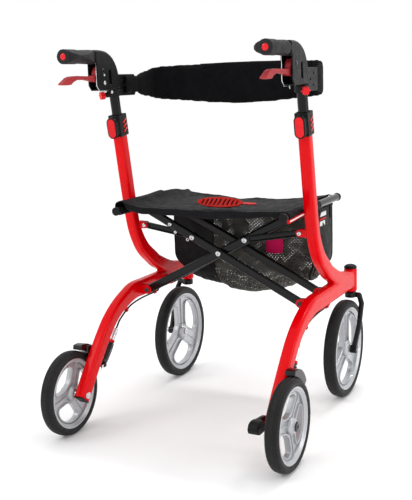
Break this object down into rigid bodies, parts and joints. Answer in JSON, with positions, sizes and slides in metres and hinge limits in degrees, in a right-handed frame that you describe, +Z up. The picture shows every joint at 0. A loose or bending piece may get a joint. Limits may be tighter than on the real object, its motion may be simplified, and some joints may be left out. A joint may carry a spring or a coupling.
{
  "type": "rollator walker",
  "caption": "Four-wheel folding walker with red side frames, swivelling front wheels, fabric seat, under-seat bag, backrest band, height-adjustable handles and hand brakes.",
  "frame": {"origin": "on the ground, at the middle of the walker's box in X and Y", "axes": "+X to the user's right, +Y forward in the direction of travel, +Z up"},
  "size_m": [0.5982, 0.7259, 0.9055],
  "materials": {
    "red_paint": "gloss",
    "black_plastic": "satin moulded",
    "black_gloss": "gloss moulded",
    "red_plastic": "semi-gloss",
    "lever_red": "semi-gloss",
    "black_paint": "satin powder coat",
    "grip_rubber": "matt",
    "tyre": "matt",
    "rim_silver": "silver-painted moulding",
    "steel": "zinc plated",
    "black_steel": "black coated",
    "cable_sheath": "smooth sheath",
    "nylon": "woven nylon",
    "bag_mesh": "open mesh and woven nylon",
    "padded_band": "padded knit"
  },
  "bodies": {
    "left_frame": {"side_frame_left": "red_paint", "frame_plugs_left": "black_plastic", "frame_fittings_left": "steel", "adjuster_left": "black_plastic", "rear_axle_left": "steel", "brake_spring_left": "black_steel", "brake_cable_left": "cable_sheath"},
    "right_frame": {"side_frame_right": "red_paint", "frame_plugs_right": "black_plastic", "frame_fittings_right": "steel", "adjuster_right": "black_plastic", "rear_axle_right": "steel", "brake_spring_right": "black_steel", "brake_cable_right": "cable_sheath", "curb_pedal": "black_plastic"},
    "brace_a": {"brace_bars_a": "black_paint", "centre_bolts": "steel", "seat_rail_right": "black_paint", "rail_caps_right": "black_plastic"},
    "brace_b": {"brace_bars_b": "black_paint", "stop_bolts": "steel", "seat_rail_left": "black_paint", "rail_caps_left": "black_plastic"},
    "seat_half_left": {"seat_left": "nylon"},
    "seat_half_right": {"seat_right": "nylon", "seat_pull": "red_plastic"},
    "bag_body": {"bag": "bag_mesh"},
    "link_left": {"control_link_left": "black_paint"},
    "link_right": {"control_link_right": "black_paint"},
    "handle_left": {"handle_post_left": "black_paint", "handle_shell_left": "black_plastic", "grip_left": "grip_rubber", "grip_dot_left": "red_plastic"},
    "bracket_left": {"backrest_bracket_left": "black_plastic", "backrest_band": "padded_band"},
    "screw_left": {"thumb_screw_left": "red_plastic"},
    "lever_left": {"brake_lever_left": "lever_red"},
    "button_left": {"height_button_left": "red_plastic"},
    "brake_left": {"brake_arm_left": "black_gloss"},
    "rear_wheel_left": {"rear_tyre_left": "tyre", "rear_rim_left": "rim_silver"},
    "caster_left": {"fork_left": "black_paint", "front_axle_left": "steel"},
    "front_wheel_left": {"front_tyre_left": "tyre", "front_rim_left": "rim_silver"},
    "handle_right": {"handle_post_right": "black_paint", "handle_shell_right": "black_plastic", "grip_right": "grip_rubber", "grip_dot_right": "red_plastic"},
    "bracket_right": {"backrest_bracket_right": "black_plastic"},
    "screw_right": {"thumb_screw_right": "red_plastic"},
    "lever_right": {"brake_lever_right": "lever_red"},
    "button_right": {"height_button_right": "red_plastic"},
    "brake_right": {"brake_arm_right": "black_gloss"},
    "rear_wheel_right": {"rear_tyre_right": "tyre", "rear_rim_right": "rim_silver"},
    "caster_right": {"fork_right": "black_paint", "front_axle_right": "steel"},
    "front_wheel_right": {"front_tyre_right": "tyre", "front_rim_right": "rim_silver"}
  },
  "joints": [
    {"name": "fold", "type": "hinge", "parent": "left_frame", "child": "brace_a", "pos_m": [-0.212, 0.016, 0.3], "axis": [0, -1, 0], "range_deg": [0, 44.7], "deforming": ["seat_left", "seat_right", "seat_pull", "bag", "backrest_band"]},
    {"name": "brace_cross", "type": "hinge", "parent": "brace_a", "child": "brace_b", "pos_m": [0, 0.0105, 0.4094], "axis": [0, 1, 0], "range_deg": [0, 89.5]},
    {"name": "right_frame_pivot", "type": "hinge", "parent": "brace_b", "child": "right_frame", "pos_m": [0.212, 0.005, 0.3], "axis": [0, -1, 0], "range_deg": [0, 44.8]},
    {"name": "link_left_pivot", "type": "hinge", "parent": "left_frame", "child": "link_left", "pos_m": [-0.2125, 0.016, 0.4695], "axis": [0, -1, 0], "range_deg": [0, 79.11]},
    {"name": "link_right_pivot", "type": "hinge", "parent": "right_frame", "child": "link_right", "pos_m": [0.2125, 0.005, 0.4695], "axis": [0, 1, 0], "range_deg": [0, 79.11]},
    {"name": "seat_left_hinge", "type": "hinge", "parent": "brace_b", "child": "seat_half_left", "pos_m": [-0.2175, 0, 0.52164], "axis": [0, 1, 0], "range_deg": [0, 28.24]},
    {"name": "seat_middle", "type": "hinge", "parent": "seat_half_left", "child": "seat_half_right", "pos_m": [0, 0, 0.53364], "axis": [0, -1, 0], "range_deg": [0, 145.77]},
    {"name": "bag_hang", "type": "hinge", "parent": "brace_a", "child": "bag_body", "pos_m": [0, 0.145, 0.4094], "axis": [0, 1, 0], "range_deg": [0, 44.8]},
    {"name": "handle_height_left", "type": "slide", "parent": "left_frame", "child": "handle_left", "axis": [0, -0.1771, 0.9842], "range_m": [-0.02, 0.065]},
    {"name": "backrest_height_left", "type": "slide", "parent": "handle_left", "child": "bracket_left", "axis": [0, -0.1771, 0.9842], "range_m": [-0.01, 0]},
    {"name": "thumb_screw_turn_left", "type": "hinge", "parent": "bracket_left", "child": "screw_left", "pos_m": [-0.25772, -0.07631, 0.79942], "axis": [-0.5888, -0.7955, -0.1431], "continuous": true},
    {"name": "brake_squeeze_left", "type": "hinge", "parent": "handle_left", "child": "lever_left", "pos_m": [-0.243, -0.122, 0.858], "axis": [-1, 0, 0], "range_deg": [0, 11], "stiffness_Nm_per_rad": 0.6, "springref_deg": -14.32},
    {"name": "height_button_press_left", "type": "slide", "parent": "left_frame", "child": "button_left", "axis": [0, 0.9842, 0.1771], "range_m": [0, 0.003], "stiffness_N_per_m": 400, "springref_m": -0.002},
    {"name": "brake_arm_turn_left", "type": "hinge", "parent": "left_frame", "child": "brake_left", "pos_m": [-0.2605, -0.19, 0.17], "axis": [1, 0, 0], "range_deg": [0, 1.93], "deforming": ["brake_spring_left"]},
    {"name": "rear_wheel_spin_left", "type": "hinge", "parent": "left_frame", "child": "rear_wheel_left", "pos_m": [-0.28, -0.2615, 0.1015], "axis": [1, 0, 0], "continuous": true},
    {"name": "caster_swivel_left", "type": "hinge", "parent": "left_frame", "child": "caster_left", "pos_m": [-0.243, 0.2915, 0.25], "axis": [0, 0, 1], "continuous": true},
    {"name": "front_wheel_spin_left", "type": "hinge", "parent": "caster_left", "child": "front_wheel_left", "pos_m": [-0.243, 0.2359, 0.127], "axis": [1, 0, 0], "continuous": true},
    {"name": "handle_height_right", "type": "slide", "parent": "right_frame", "child": "handle_right", "axis": [0, -0.1771, 0.9842], "range_m": [-0.02, 0.065]},
    {"name": "backrest_height_right", "type": "slide", "parent": "handle_right", "child": "bracket_right", "axis": [0, -0.1771, 0.9842], "range_m": [-0.01, 0]},
    {"name": "thumb_screw_turn_right", "type": "hinge", "parent": "bracket_right", "child": "screw_right", "pos_m": [0.25772, -0.07631, 0.79942], "axis": [0.5888, -0.7955, -0.1431], "continuous": true},
    {"name": "brake_squeeze_right", "type": "hinge", "parent": "handle_right", "child": "lever_right", "pos_m": [0.243, -0.122, 0.858], "axis": [-1, 0, 0], "range_deg": [0, 11], "stiffness_Nm_per_rad": 0.6, "springref_deg": -14.32},
    {"name": "height_button_press_right", "type": "slide", "parent": "right_frame", "child": "button_right", "axis": [0, 0.9842, 0.1771], "range_m": [0, 0.003], "stiffness_N_per_m": 400, "springref_m": -0.002},
    {"name": "brake_arm_turn_right", "type": "hinge", "parent": "right_frame", "child": "brake_right", "pos_m": [0.2605, -0.19, 0.17], "axis": [1, 0, 0], "range_deg": [0, 1.93], "deforming": ["brake_spring_right"]},
    {"name": "rear_wheel_spin_right", "type": "hinge", "parent": "right_frame", "child": "rear_wheel_right", "pos_m": [0.28, -0.2615, 0.1015], "axis": [1, 0, 0], "continuous": true},
    {"name": "caster_swivel_right", "type": "hinge", "parent": "right_frame", "child": "caster_right", "pos_m": [0.243, 0.2915, 0.25], "axis": [0, 0, 1], "continuous": true},
    {"name": "front_wheel_spin_right", "type": "hinge", "parent": "caster_right", "child": "front_wheel_right", "pos_m": [0.243, 0.2359, 0.127], "axis": [1, 0, 0], "continuous": true}
  ],
  "couplings": [
    {"joint": "brace_cross", "follows": "fold", "ratio": 2},
    {"joint": "right_frame_pivot", "follows": "fold", "ratio": 1},
    {"joint": "link_left_pivot", "follows": "fold", "ratio": 1.7676},
    {"joint": "link_right_pivot", "follows": "fold", "ratio": 1.7676},
    {"joint": "seat_left_hinge", "follows": "fold", "ratio": 0.62944},
    {"joint": "seat_middle", "follows": "fold", "ratio": 3.2589},
    {"joint": "bag_hang", "follows": "fold", "ratio": 1},
    {"joint": "brake_arm_turn_left", "follows": "brake_squeeze_left", "ratio": 0.17273},
    {"joint": "brake_arm_turn_right", "follows": "brake_squeeze_right", "ratio": 0.17273},
    {"joint": "handle_height_right", "follows": "handle_height_left", "ratio": 1},
    {"joint": "backrest_height_right", "follows": "backrest_height_left", "ratio": 1}
  ]
}
